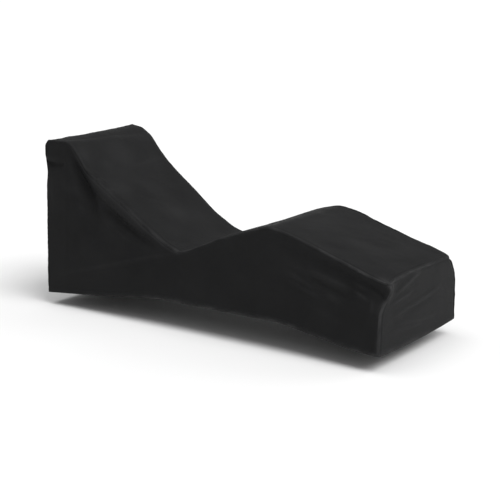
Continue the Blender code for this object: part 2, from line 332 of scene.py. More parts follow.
print("laps of", 1000 * LAP, "mm narrow to", round(1000 * LAP * corner_taper(0), 2), "mm at corners")

# %% [markdown]
# ## The five panels as smooth cloth
#
# Each panel starts as a grid laid over its face of the box, which is then draped. The top comes
# first. Its outermost columns and rows run on past the edges and turn down, which makes its lap.

# %% Lay out the top
TOP_FINE = (0.030, 0.030)
ALONG_STEP = 0.0062
HALF_ACROSS = 0.318
ACROSS_STEP = 0.0064
PANELS = {}


def lay_out(name, points, plane, outward):
    """Keeps a panel's grid, the plane that its folds are drawn in and the way it faces."""
    PANELS[name] = {"points": points, "plane": plane, "outward": outward}
    print(name, "grid:", points.shape[0], "x", points.shape[1])


def top_panel_grid():
    along = spaced(HEAD_X - LAP, FOOT_X + LAP, TOP_FINE, ALONG_STEP)
    share = spaced(-HALF_ACROSS, HALF_ACROSS, TOP_FINE, ACROSS_STEP) / HALF_ACROSS
    x = np.clip(along, HEAD_X, FOOT_X)
    lap = LAP * corner_taper(np.minimum(x - HEAD_X, FOOT_X - x))
    right = top_half_width(x, -np.ones_like(x)) + lap
    left = top_half_width(x, np.ones_like(x)) + lap
    across = np.where(share < 0, right[:, None], left[:, None]) * share
    x = np.repeat(x[:, None], len(share), axis=1)
    edge = top_half_width(x, across)
    inside = np.minimum(np.abs(across), edge)
    over_side = np.abs(across) - inside
    over_end = np.abs(along - np.clip(along, HEAD_X, FOOT_X))[:, None] * corner_taper(edge - inside)
    depth = np.maximum(over_side, over_end)
    y = np.sign(across) * inside * half_width(x, across, depth) / edge
    return draped(x, y, depth)


lay_out("top_panel", top_panel_grid(), (0, 1), (0, 0, 1))

# %% [markdown]
# ## The long sides
#
# A side hangs between a wavy seam and an arched hem. A flat grid would have to be trimmed to both
# lines. Here each column runs from under the top's lap to the hem, and its rows are shares of that
# drop, so the grid follows both lines by itself.

# %% Lay out the long sides
SIDE_FINE = (0.024, 0.024)
SIDE_STEP = 0.0056
TALL = 0.50
DOWN_FINE = (0.022, 0.026)
DOWN_STEP = 0.0058
DOWN_LEAN = 0.35


def side_panel_grid(side):
    along = spaced(HEAD_X - UNDER_LAP, FOOT_X + UNDER_LAP, SIDE_FINE, SIDE_STEP)
    share = spaced(0.0, TALL, DOWN_FINE, DOWN_STEP, DOWN_LEAN) / TALL
    x = np.clip(along, HEAD_X, FOOT_X)
    facing = np.full_like(x, side)
    under_top = UNDER_LAP * corner_taper(np.minimum(x - HEAD_X, FOOT_X - x))
    below = -under_top[:, None] + (drop_to_hem(x, facing) + under_top)[:, None] * share
    depth = np.maximum(below, 0.0)
    under_end = np.abs(along - x)[:, None] * corner_taper(depth)
    inward = np.maximum(np.maximum(-below, 0.0), under_end)
    x = np.repeat(x[:, None], len(share), axis=1)
    y = side * (half_width(x, np.full_like(x, side), depth) - inward)
    return draped(x, y, depth)


lay_out("right_side_panel", side_panel_grid(-1.0), (0, 2), (0, -1, 0))
lay_out("left_side_panel", side_panel_grid(1.0), (0, 2), (0, 1, 0))

# %% [markdown]
# ## The short ends
#
# An end lies under the top but over the sides, so its outer columns turn the corner as a lap, and
# its first rows turn in under the top.

# %% Lay out the short ends
END_FINE = (0.026, 0.026)
END_STEP = 0.0060
END_HALF = 0.345


def end_panel_grid(end_x):
    facing = 1.0 if end_x > 0 else -1.0
    across = spaced(-END_HALF, END_HALF, END_FINE, END_STEP)[:, None] / END_HALF
    share = spaced(0.0, TALL, DOWN_FINE, DOWN_STEP, DOWN_LEAN)[None, :] / TALL
    x = np.full((across.size, share.size), end_x)
    edge = top_half_width(x, across)
    under_top = UNDER_LAP * corner_taper(edge * (1 - np.abs(across)))
    down = drop_to_hem(x, across * edge)
    below = -under_top + (down + under_top) * share
    depth = np.maximum(below, 0.0)
    edge = half_width(x, across + np.zeros_like(x), depth)
    over = across * (edge + LAP * corner_taper(depth))
    inside = np.minimum(np.abs(over), edge)
    inward = np.maximum(np.maximum(-below, 0.0), np.abs(over) - inside)
    return draped(x - facing * inward, np.sign(over) * inside, depth)


lay_out("foot_end_panel", end_panel_grid(FOOT_X), (1, 2), (1, 0, 0))
lay_out("head_end_panel", end_panel_grid(HEAD_X), (1, 2), (-1, 0, 0))

# %% [markdown]
# ## Folds, placed one by one
#
# A fold in a cover has a cause: cloth sinks where the chair leaves a hollow, stands out where a
# rail or a corner pulls it, and runs in straight drag lines between two points that hold it. So
# each fold is a row in a table. It starts with its lean, which is how much wider the fold is on the
# right of its path than on the left, because a fold that hangs has one steep side and one gentle
# side. Then come the places along it, each with how deep the cloth sinks there and how wide the
# steep side is. A ridge has a negative depth.
#
# On a long side a place is (x, height). The side that shows most carries the long drag line from
# the rear foot up to the seat, hollows under the backrest, and short pleats beside the leg rest.

# %% Folds on the right side
FOLDS = {}
FOLDS["right_side_panel"] = (
    # the padding's shoulder under the backrest seam, and the hollows below it
    (1.0, (138, 775, 0, 12), (190, 700, -6, 18), (258, 640, -8, 22), (355, 573, -8, 22),
     (490, 490, -7, 19), (640, 410, 0, 14)),
    (1.3, (128, 792, 3, 12), (150, 744, 20, 18), (178, 692, 29, 24), (209, 624, 33, 30),
     (252, 540, 24, 31), (305, 440, 0, 26)),
    (1.5, (325, 558, 0, 14), (395, 510, 11, 20), (465, 468, 16, 22), (535, 430, 15, 20),
     (615, 396, 10, 17), (705, 360, 0, 14)),
    (1.0, (440, 462, 0, 8), (500, 428, -4, 9), (580, 392, 0, 8)),
    (1.0, (390, 462, 0, 9), (450, 424, 4, 10), (540, 384, 0, 9)),
    (1.0, (180, 700, 0, 30), (270, 590, 7, 36), (400, 490, 7, 36), (560, 400, 4, 30),
     (700, 355, 0, 26)),
    (1.0, (300, 520, 0, 12), (350, 475, -4, 14), (420, 425, 0, 14)),
    # the head's side: padding that ends in a crease, and small pulls below it
    (1.3, (-40, 737, 7, 11), (20, 735, 11, 13), (78, 738, 11, 13), (112, 748, 0, 9)),
    (1.0, (-40, 765, -3, 18), (30, 764, -5, 18), (90, 768, 0, 16)),
    (1.0, (100, 665, 0, 20), (150, 610, -5, 22), (195, 555, 0, 20)),
    (1.0, (60, 650, 0, 18), (110, 590, 4, 20), (170, 510, 0, 18)),
    (1.0, (170, 570, 0, 14), (205, 530, 5, 15), (235, 500, 0, 14)),
    (1.0, (10, 690, 0, 20), (26, 600, -3, 24), (32, 480, 0, 24)),
    # the long drag line from the rear foot up to the seat
    (1.4, (40, 170, 0, 8), (200, 210, -4.2, 9), (400, 262, -4.8, 9), (620, 325, -4, 9),
     (840, 386, 0, 8)),
    # the leg rest: cloth falls in under the top seam, and bulges below it
    (2.2, (1290, 520, 0, 14), (1420, 492, 6, 16), (1600, 448, 8, 17), (1780, 395, 8, 16),
     (1900, 358, 0, 14)),
    (1.4, (1540, 412, 0, 12), (1620, 389, -8, 14), (1710, 365, -8.5, 14), (1800, 342, 0, 11)),
    (1.3, (1560, 378, 0, 9), (1640, 351, 5.5, 10), (1730, 325, 5.5, 10), (1790, 305, 0, 9)),
    (1.2, (1440, 388, 0, 8), (1495, 366, -5, 9), (1560, 340, -4.5, 9), (1610, 322, 0, 8)),
    (1.2, (1455, 352, 0, 8), (1520, 329, -5, 8), (1590, 306, -4.5, 8), (1640, 290, 0, 8)),
    (1.2, (1650, 318, 0, 9), (1700, 300, -5.5, 10), (1760, 278, 0, 9)),
    (1.2, (1755, 390, 0, 9), (1815, 368, -7, 10), (1875, 345, 0, 9)),
    (1.2, (1785, 350, 0, 9), (1835, 327, -7, 10), (1885, 302, 0, 9)),
    (1.0, (1886, 328, 0, 7), (1896, 292, -4.5, 8), (1905, 252, 0, 7)),
    (1.0, (1430, 430, 0, 14), (1520, 402, -3.5, 16), (1600, 372, 0, 14)),
    (1.0, (1560, 262, 0, 16), (1680, 222, -3, 18), (1800, 186, 0, 16)),
    # the hook-shaped hollow behind the foot corner
    (1.0, (1820, 388, 0, 12), (1885, 368, 8, 13), (1925, 350, 10, 13), (1948, 315, 0, 12)),
    # slack between seat and hem, hardly there
    (1.0, (880, 330, 0, 40), (1000, 260, 2, 45), (1060, 190, 0, 40)),
)
print("folds on the right side:", len(FOLDS["right_side_panel"]))

# %% [markdown]
# ## Folds on the other side and the ends
#
# The far side repeats the causes of the near one with folds of its own, since no cover hangs the
# same on both. On an end a place is (y, height).

# %% Folds on the left side and the ends
FOLDS["left_side_panel"] = (
    (1.0, (150, 750, 0, 12), (300, 610, -5, 18), (620, 420, 0, 14)),
    (1.6, (160, 765, 0, 10), (205, 690, 13, 16), (250, 600, 15, 20), (320, 490, 0, 18)),
    (1.8, (330, 540, 0, 14), (430, 460, 10, 18), (560, 390, 6, 17), (690, 340, 0, 14)),
    (4.0, (-30, 737, 5, 9), (60, 730, 7, 9), (130, 750, 0, 10)),
    (1.0, (110, 660, 0, 20), (165, 570, -5, 22), (210, 490, 0, 20)),
    (3.0, (60, 186, 0, 12), (420, 270, -4, 13), (800, 360, 0, 12)),
    (1.0, (900, 330, 0, 40), (1020, 250, 3, 45), (1080, 190, 0, 40)),
    (2.2, (1320, 515, 0, 16), (1560, 458, 7, 18), (1800, 388, 0, 15)),
    (1.4, (1400, 430, 0, 18), (1560, 360, -5, 20), (1720, 285, 0, 18)),
    (1.5, (1500, 360, 0, 14), (1630, 295, 5, 16), (1740, 235, 0, 14)),
    (1.3, (1690, 370, 0, 14), (1790, 315, -4, 16), (1890, 240, 0, 14)),
    (1.2, (1780, 300, 0, 16), (1850, 230, 4, 18), (1890, 160, 0, 16)),
)
FOLDS["foot_end_panel"] = (
    # a fan of creases that starts under the corner where the cloth hangs double
    (1.3, (-245, 242, 0, 9), (-130, 247, -4.2, 11), (10, 257, -4.2, 11), (130, 270, -2.6, 10),
     (220, 281, 0, 9)),
    (1.3, (-200, 227, 0, 10), (-80, 228, 4, 11), (60, 236, 3, 11), (150, 246, 0, 10)),
    (1.3, (-230, 198, 0, 8), (-130, 184, -4.5, 9), (20, 164, -4.5, 9), (170, 148, 0, 8)),
    (1.3, (-275, 178, 0, 8), (-195, 166, -3.5, 9), (-60, 150, -3, 9), (30, 143, 0, 8)),
    (1.3, (-275, 297, 0, 8), (-200, 303, -4, 9), (-130, 308, -3.5, 9), (-55, 316, 0, 8)),
    (1.3, (-235, 334, 0, 9), (-160, 352, -4.5, 11), (-60, 380, -4.5, 12), (20, 402, 0, 10)),
    (1.0, (-325, 398, 0, 7), (-285, 390, -4, 8), (-235, 382, 0, 7)),
)
FOLDS["head_end_panel"] = (
    (3.0, (-330, 712, 5, 12), (-100, 694, 8, 14), (100, 692, 8, 14), (330, 712, 5, 12)),
    (1.0, (-230, 650, 0, 40), (-120, 440, -7, 45), (-60, 180, 0, 40)),
    (1.0, (-300, 630, 0, 30), (-250, 420, 7, 34), (-240, 140, 0, 30)),
    (1.0, (60, 660, 0, 34), (20, 420, 6, 38), (40, 120, 0, 34)),
    (1.0, (240, 650, 0, 34), (170, 420, -6, 38), (150, 160, 0, 34)),
    (1.0, (310, 570, 0, 26), (290, 360, 4, 30), (300, 110, 0, 26)),
    (1.5, (-200, 676, 0, 14), (-40, 630, 4, 16), (90, 610, 0, 14)),
)
print("folds on the ends:", len(FOLDS["foot_end_panel"]), "and", len(FOLDS["head_end_panel"]))

# %% [markdown]
# ## Folds on the top
#
# The top lies on padding, so it has soft sags instead of hanging folds, pleats in the dip of the
# seat, and small pulls where the backrest's seam gathers it. A place is (x, y).

# %% Folds on the top
FOLDS["top_panel"] = (
    # soft sags on the backrest and the seat, and the small pleats in the dip
    (1.0, (180, -220, 0, 40), (310, -90, -3, 46), (440, 80, 0, 40)),
    (1.0, (170, 170, 0, 45), (300, 185, 3, 50), (480, 110, 0, 45)),
    (1.0, (470, -200, 0, 40), (550, -30, -3, 45), (610, 180, 0, 40)),
    (1.0, (800, -310, 0, 26), (812, -120, 4, 30), (806, 100, 4, 30), (798, 310, 0, 26)),
    (1.4, (680, -290, 0, 16), (735, -190, 3, 20), (765, -50, 0, 18)),
    (1.4, (910, 280, 0, 18), (865, 160, 3, 22), (838, 10, 0, 20)),
    (1.0, (1343, -310, 0, 18), (1350, -60, -2, 20), (1346, 310, 0, 18)),
    (1.0, (1450, -260, 0, 45), (1570, -110, 2, 50), (1680, 120, 0, 45)),
    (1.0, (1690, -280, 0, 40), (1780, -90, -2, 45), (1870, 80, 0, 40)),
    (1.0, (88, -330, 0, 14), (100, -200, 3, 18), (104, 200, 3, 18), (96, 330, 0, 14)),
    (1.4, (262, 0, 0, 10), (258, 90, -4.5, 12), (253, 180, -4.5, 12), (262, 270, 0, 10)),
    (1.2, (330, 60, 0, 12), (345, 160, 4, 14), (340, 250, 0, 12)),
    (1.2, (430, -140, 0, 16), (470, -30, 4, 18), (500, 70, 0, 16)),
    # small pulls from the backrest's seam
    (1.0, (195, -322, -2, 8), (212, -290, -4, 10), (245, -245, 0, 9)),
    (1.0, (248, -322, -2, 8), (268, -285, -5, 9), (300, -240, 0, 9)),
    (1.0, (280, -326, 2, 7), (296, -296, 4, 9), (325, -262, 0, 8)),
    (1.0, (312, -330, -2, 9), (332, -295, -5.5, 11), (375, -240, 0, 10)),
    (1.0, (385, -335, -2, 7), (402, -305, -4.5, 9), (438, -268, 0, 8)),
    (1.0, (440, -338, -2, 9), (465, -300, -4.5, 11), (510, -248, 0, 10)),
    (1.0, (530, -342, -1, 8), (548, -312, -3.5, 9), (585, -280, 0, 9)),
)
print("folds placed by hand:", sum(len(rows) for rows in FOLDS.values()))

# %% [markdown]
# ## Pressing a fold into a grid
#
# A fold's path becomes many short straight pieces. For each place on a panel this finds the nearest
# point of the nearest piece, and reads the fold's depth and width there. The sign of the distance
# says which side of the path the place is on, so the gentle side can be wider than the steep one.

# %% Depth of the folds
FOLD_STEPS = 40
SEAM_FADE = 0.014
FOLD_KEYS = ("at", "a", "b", "depth", "width")


def bell(distance, width):
    """1 at no distance, falling smoothly to nothing some widths away."""
    return np.exp(-((distance / width) ** 2))


def fold_line(places):
    """Evenly spaced (a, b, depth, width) rows, in metres, along a curve through a fold's places."""
    knots = np.linspace(0, 1, len(places))
    rows = (FOLD_KEYS, *zip(knots, *(np.array(places) / MILLIMETRES).T))
    at = np.linspace(0, 1, FOLD_STEPS)
    return np.stack([read_table(rows, key, at) for key in FOLD_KEYS[1:]], axis=-1)


def press_fold(flat, lean, places):
    """How far one fold moves each place outwards, for its position in the panel's own plane."""
    line = fold_line(places)
    nearest = np.full(flat.shape[:2], np.inf)
    relief = np.zeros(flat.shape[:2])
    for start, end in zip(line[:-1], line[1:]):
        piece = end[:2] - start[:2]
        offset = flat - start[:2]
        along = np.clip(offset @ piece / (piece @ piece), 0, 1)
        beside = offset - along[..., None] * piece
        distance = np.linalg.norm(beside, axis=-1)
        on_right = piece[0] * offset[..., 1] - piece[1] * offset[..., 0] < 0
        depth = start[2] + along * (end[2] - start[2])
        width = (start[3] + along * (end[3] - start[3])) * np.where(on_right, lean, 1.0)
        closer = distance < nearest
        nearest = np.where(closer, distance, nearest)
        relief = np.where(closer, -depth * bell(distance, width), relief)
    return relief


def fold_relief(flat, rows):
    return sum(press_fold(flat, lean, places) for lean, *places in rows)


print("each fold is pressed in as", FOLD_STEPS - 1, "straight pieces")

# %% [markdown]
# ## Cloth is never quite smooth
#
# Coated polyester keeps a memory of how it was packed: broad soft waves a hand wide, and thin sharp
# wrinkles between them. Both come from one noise function. Heights drawn once on a grid, with a
# fixed seed, are joined by smooth curves, and the sharp wrinkles are the places where that noise
# crosses zero.

# %% Noise on a panel
LATTICE = 48
NOISE_TURN = 0.31


def soft_noise(u, v, seed):
    """Smooth noise between about -1 and 1, with one height drawn for each whole step of u and v."""
    heights = np.random.default_rng(seed).uniform(-1, 1, (LATTICE, LATTICE))
    u, v = u + NOISE_TURN * v, v - NOISE_TURN * u
    iu, iv = np.floor(u).astype(int), np.floor(v).astype(int)
    fu, fv = u - iu, v - iv
    fu, fv = fu * fu * fu * (fu * (6 * fu - 15) + 10), fv * fv * fv * (fv * (6 * fv - 15) + 10)
    corner = [[heights[(iu + a) % LATTICE, (iv + b) % LATTICE] for b in (0, 1)] for a in (0, 1)]
    near = corner[0][0] * (1 - fv) + corner[0][1] * fv
    far = corner[1][0] * (1 - fv) + corner[1][1] * fv
    return near * (1 - fu) + far * fu


sample = soft_noise(*np.meshgrid(np.arange(0, 9, 0.3), np.arange(0, 9, 0.3)), 1)
print("noise runs from", round(sample.min(), 2), "to", round(sample.max(), 2))

# %% [markdown]
# ## Waves, ripples and wrinkles
#
# Each kind of unevenness is the same noise at its own scale. How much of it a panel shows depends
# on how tightly it is held: the long side that carries the drag line is pulled straight, and the
# top lies slack.

# %% Unevenness on a panel
BEND_CELL = 0.20
BEND = 0.35
WAVE_CELL = 0.13
WAVE_HEIGHT = 0.0020
RIPPLE_CELL = 0.045
RIPPLE_HEIGHT = 0.0004
WRINKLE_CELL = 0.10
WRINKLE_HEIGHT = 0.0005
WRINKLE_THIN = 0.075
WRINKLED = (0.0, 0.7)
WRINKLED_CELL = 0.17
SLACK = {
    "top_panel": 1.6,
    "right_side_panel": 0.4,
    "left_side_panel": 0.8,
    "foot_end_panel": 0.45,
    "head_end_panel": 1.0,
}


def uneven_relief(flat, seed, slack):
    """Broad waves, small ripples and thin wrinkles, for a position in the panel's own plane."""
    a, b = flat[..., 0], flat[..., 1]
    bend = BEND * soft_noise(a / BEND_CELL, b / BEND_CELL, seed + 7)
    wave = WAVE_HEIGHT * soft_noise(a / WAVE_CELL + bend, b / WAVE_CELL - bend, seed)
    ripple = RIPPLE_HEIGHT * soft_noise(a / RIPPLE_CELL + bend, b / RIPPLE_CELL + bend, seed + 1)
    crossing = soft_noise(a / WRINKLE_CELL + 2 * bend, b / WRINKLE_CELL - bend, seed + 2)
    where = ease(*WRINKLED, soft_noise(a / WRINKLED_CELL, b / WRINKLED_CELL, seed + 3))
    wrinkle = WRINKLE_HEIGHT * where * bell(crossing, WRINKLE_THIN)
    return slack * (wave + ripple + wrinkle)


print("slackest panel:", max(SLACK, key=SLACK.get))

# %% [markdown]
# ## Laps, hems and puckers
#
# The top's edge is turned under and sewn down over the sides, so it stands a cloth's thickness
# above them and throws a thin shadow. The hem is the same cloth turned up, a flat band with one row
# of stitches. Stitches pull the cloth, which leaves a groove along each row and small puckers
# across it.

# %% Laps and gutters
# Bands: how high, how deep and how gently they end. Ridges: how high, how far in and how wide.
LAP_BAND = (0.0018, 0.0125, 0.004)
PUFF = (0.0017, 0.0058, 0.004)
PUFF_CELL = 0.035
PUFF_VARIES = 0.7
PULL = (-0.0016, 0.018, 0.005)
GUTTER = (-0.0013, 0.0135, 0.0045)
GROOVE_DEEP = 0.0006
GROOVE_WIDE = 0.0013
LAP_ROWS = (0.0022, 0.0098)


def band(distance, height, deep, end):
    return height * (1 - ease(deep, deep + end, distance))


def ridge(distance, height, at, width):
    return height * bell(distance - at, width)


def groove(distance, row):
    return ridge(distance, -GROOVE_DEEP, row, GROOVE_WIDE)


def lap_relief(distance, along, seed):
    fullness = 1 + PUFF_VARIES * soft_noise(along / PUFF_CELL, 0 * along, seed)
    raised = band(distance, *LAP_BAND) + fullness * ridge(distance, *PUFF)
    return raised + ridge(distance, *PULL) + sum(groove(distance, row) for row in LAP_ROWS)


def gutter_relief(distance, along, seed):
    return ridge(distance, *GUTTER)


print("a lap stands about", round(1000 * (LAP_BAND[0] + PUFF[0]), 1), "mm proud")

# %% [markdown]
# ## The hem, and puckers along every row of stitches
#
# A hem is stiffer than the cloth above it, so it stays a flat band. The thread is a little shorter
# than the cloth it holds, and the spare cloth ripples across the row.

# %% Hem and puckers
HEM_BAND = (0.001, 0.020, 0.003)
HEM_ROW = 0.018
PUCKER_HEIGHT = 0.0007
PUCKER_CELL = 0.013
PUCKER_LONG = 0.09
PUCKER_REACH = 0.017


def hem_relief(distance, along, seed):
    return band(distance, *HEM_BAND) + groove(distance, HEM_ROW)


def pucker_relief(distance, along, seed):
    ripple = soft_noise(along / PUCKER_CELL, distance / PUCKER_LONG, seed)
    return PUCKER_HEIGHT * ripple * bell(distance, PUCKER_REACH)


print("hem:", 1000 * HEM_BAND[1], "mm deep, stitched", 1000 * HEM_ROW, "mm up")

# %% [markdown]
# ## How proud the seams stand
#
# The backrest and the head pull their seams flat, and past the seat the cloth is loose and its seam
# stands up in a soft roll. A number for each stretch of the cover says how proud the seam is there.

# %% Pride of the seams
# These numbers also set how pale the seams are painted: wear and a painted highlight.
PROUD = (
    ("x", "proud"),
    (-0.045, 0.50),
    (0.08, 0.22),
    (0.30, 0.28),
    (0.50, 0.45),
    (0.80, 1.10),
    (1.86, 1.10),
    (1.93, 1.60),
)
FAR_CORNER = (-0.02, 0.20)
FAR_CORNER_FROM = (1.6, 1.9)
FAR_CORNER_FLAT = 0.85


def seam_pride(points):
    """How proud the seams stand near each place; the far foot corner's are pulled almost flat."""
    x, y = points[..., 0], points[..., 1]
    flat_corner = FAR_CORNER_FLAT * ease(*FAR_CORNER, y) * ease(*FAR_CORNER_FROM, x)
    return read_table(PROUD, "proud", x) * (1 - flat_corner)


print("proudest seam, against the flattest:", round(PROUD[-1][1] / PROUD[2][1], 1), "times")

# %% [markdown]
# ## Every edge of every panel
#
# Each edge of a grid is a lap, a gutter under a neighbour's lap, or a hem. Where two laps meet, the
# layers pile up in a knot.

# %% Relief along the edges
KNOT_HEIGHTS = ((0.0025, 0.0020), (0.0055, 0.0006))
KNOT_REACH = 0.024
KNOT_EDGE = 0.010
POINT_REACH = (-0.003, 0.012)
SEAM_END = 0.12
SEAM_END_REACH = 0.03
RELIEF_SEED = 20
PUCKER_SEED = 10
# The edges of each grid: the first and last row, then the first and last column.
SIDE_EDGES = ("gutter", "gutter", "gutter", "hem")
END_EDGES = ("lap", "lap", "gutter", "hem")
EDGES = {
    "top_panel": ("lap",) * 4,
    "right_side_panel": SIDE_EDGES,
    "left_side_panel": SIDE_EDGES,
    "foot_end_panel": END_EDGES,
    "head_end_panel": END_EDGES,
}
EDGE_RELIEF = {"lap": lap_relief, "gutter": gutter_relief, "hem": hem_relief}


def runs_from_edges(points, axis):
    """Distances along the cloth from the first and from the last edge of a grid, on one axis."""
    steps = np.linalg.norm(np.diff(points, axis=axis), axis=-1)
    pad = [(0, 0), (0, 0)]
    pad[axis] = (1, 0)
    run = np.pad(np.cumsum(steps, axis=axis), pad)
    return run, np.take(run, [-1], axis=axis) - run


def edge_relief(name, points, seed):
    """What the laps, gutters, hem and puckers add, and how near each place is to a seam or the hem."""
    down_start, down_end = runs_from_edges(points, 0)
    across_start, across_end = runs_from_edges(points, 1)
    distances = (down_start, down_end, across_start, across_end)
    along = (across_start, across_start, down_start, down_start)
    raised = np.zeros(points.shape[:2])
    sunk = np.zeros(points.shape[:2])
    puckers = np.zeros(points.shape[:2])
    pride = seam_pride(points)
    for number, (kind, distance, run) in enumerate(zip(EDGES[name], distances, along)):
        relief = EDGE_RELIEF[kind](distance, run, seed + RELIEF_SEED + number)
        if name == "top_panel":
            relief = relief * pride
        elif kind == "lap":
            relief = relief * (SEAM_END + (1 - SEAM_END) * ease(0, SEAM_END_REACH, across_start))
        raised = np.maximum(raised, relief)
        sunk = np.minimum(sunk, relief)
        puckers += pucker_relief(distance, run, seed + PUCKER_SEED + number)
    nearest = np.minimum.reduce(distances)
    if name == "top_panel":
        down, across = np.minimum(down_start, down_end), np.minimum(across_start, across_end)
        knot = np.zeros(points.shape[:2])
        for heights, along_x in zip(KNOT_HEIGHTS, (down_start, down_end)):
            for height, along_y in zip(heights, (across_start, across_end)):
                knot += height * np.exp(-(along_x**2 + along_y**2) / KNOT_REACH**2)
        raised = raised + knot * ease(0, KNOT_EDGE, nearest)
        raised = raised * ease(*POINT_REACH, np.hypot(down, across))
    return raised + sunk + puckers, nearest


print("laps:", sum(kinds.count("lap") for kinds in EDGES.values()), "of", 4 * len(EDGES), "edges")

# %% [markdown]
# ## From smooth panels to folded cloth
#
# Folds, waves and laps all move the cloth along its own normal. They fade out before a seam, where
# two panels are sewn and neither can move without the other.

# %% Add every relief to the panels
COLLAPSED = 1e-9
NO_LENGTH = 1e-12
HEALING_ROUNDS = 4
SEEDS_A_PANEL = 100
BODY_SEED = 50


def unit(vectors):
    return vectors / np.maximum(np.linalg.norm(vectors, axis=-1, keepdims=True), NO_LENGTH)


def surface_normals(points, outward):
    """Outward directions on a grid; where rows meet in a point, its neighbours' mean direction."""
    normals = np.cross(np.gradient(points, axis=0), np.gradient(points, axis=1))
    missing = np.linalg.norm(normals, axis=-1, keepdims=True) < COLLAPSED
    normals = np.where(missing, 0.0, unit(normals))
    rows, columns = points.shape[:2]
    for _ in range(HEALING_ROUNDS):
        padded = np.pad(normals, ((1, 1), (1, 1), (0, 0)))
        around = sum(padded[a : a + rows, b : b + columns] for a in range(3) for b in range(3))
        normals = np.where(missing, unit(around), normals)
    return normals * np.sign((normals * outward).sum(axis=-1).mean())


for number, (name, panel) in enumerate(PANELS.items()):
    seed = SEEDS_A_PANEL * number
    smooth = panel["points"]
    flat = smooth[:, :, panel["plane"]]
    edges, nearest = edge_relief(name, smooth, seed)
    folds = fold_relief(flat, FOLDS[name])
    body = folds + uneven_relief(flat, seed + BODY_SEED, SLACK[name])
    relief = edges + body * ease(0.0, SEAM_FADE, nearest)
    normals = surface_normals(smooth, panel["outward"])
    panel["points"] = smooth + normals * relief[:, :, None] - origin
    panel["normals"] = surface_normals(panel["points"], panel["outward"])
    panel["nearest"] = nearest
    panel["pride"] = seam_pride(smooth)
    panel["crest"] = np.maximum(folds, 0)
    print(name, "relief from", round(1000 * relief.min(), 1), "to", round(1000 * relief.max(), 1), "mm")

# %% [markdown]
# ## The finish: charcoal woven polyester
#
# The weave is a small over-and-under of two yarns, so its height is a product of two waves, one
# along each yarn. It reads the panel's own flat map, in metres, so the yarns follow the cloth round
# every bend. Noise along each yarn makes some threads thicker than others, and a broad noise keeps
# the dye from looking painted. Seams and hems are painted a little paler, partly as wear and partly
# as a painted highlight on their rounded edges, and an attribute on the mesh carries it.

# %% Helpers for nodes
class Graph:
    """Adds nodes to a tree, and joins or sets their inputs."""

    def __init__(self, tree):
        self.tree = tree

    def fill(self, node, inputs):
        for key, value in inputs.items():
            if isinstance(value, bpy.types.NodeSocket):
                self.tree.links.new(value, node.inputs[key])
            else:
                node.inputs[key].default_value = value
        return node

    def add(self, kind, inputs=None, **settings):
        node = self.tree.nodes.new(kind)
        for key, value in settings.items():
            setattr(node, key, value)
        return self.fill(node, inputs or {})

    def math(self, operation, *values):
        return self.add("ShaderNodeMath", dict(enumerate(values)), operation=operation).outputs[0]

    def noise(self, at, scale, detail, roughness=0.5):
        inputs = {"Vector": at, "Scale": scale, "Detail": detail, "Roughness": roughness}
        return self.add("ShaderNodeTexNoise", inputs).outputs[0]

    def mix(self, share, first, second):
        colours = {0: share, 6: first, 7: second}
        return self.add("ShaderNodeMix", colours, data_type="RGBA").outputs[2]


def new_material(name):
    material = bpy.data.materials.new(name)
    material.use_nodes = True
    return material, Graph(material.node_tree), material.node_tree.nodes["Principled BSDF"]


print("helpers:", [word for word in vars(Graph) if not word.startswith("_")])

# %% The weave
WEAVE_PITCH = 0.0013
SLUB_LEAST = 0.5
YARN_STRETCH = {"X": (30.0, 900.0, 1.0), "Y": (900.0, 30.0, 1.0)}


def weave_height(graph):
    """The cloth's over-and-under, from the flat map, with thick and thin yarns."""
    flat_map = graph.add("ShaderNodeUVMap", uv_map="flat_map").outputs[0]
    split = graph.add("ShaderNodeSeparateXYZ", {0: flat_map})
    waves = []
    for key, stretch in YARN_STRETCH.items():
        slub_map = graph.add("ShaderNodeMapping", {"Vector": flat_map, "Scale": stretch})
        slub = graph.noise(slub_map.outputs[0], scale=1.0, detail=2.0)
        turn = graph.math("MULTIPLY", split.outputs[key], 2 * math.pi / WEAVE_PITCH)
        wave = graph.math("SINE", turn)
        waves.append(graph.math("MULTIPLY", wave, graph.math("ADD", slub, SLUB_LEAST)))
    return graph.math("MULTIPLY", waves[0], waves[1])


print("yarns in 10 mm of cloth:", round(0.01 / WEAVE_PITCH * 2))

# %% [markdown]
# ## Dye, wear, painted highlights and sheen
#
# Dye, gloss and crumple are each a noise in the piece's own space, at the scale of a hand, a finger
# and a crease. The cloth is nearly black, so its form shows mostly in how pale the places of wear and
# the painted highlights are, and the attribute "rub" says where those lie.

# %% Cloth material
CLOTH_DARK = (0.0102, 0.0103, 0.0106, 1.0)
CLOTH_LIGHT = (0.0160, 0.0161, 0.0165, 1.0)
# A paler grey for wear and for painted highlights.
WEAR_HIGHLIGHT_COLOUR = (0.056, 0.056, 0.057, 1.0)
WEAVE_SHOWS = 0.18


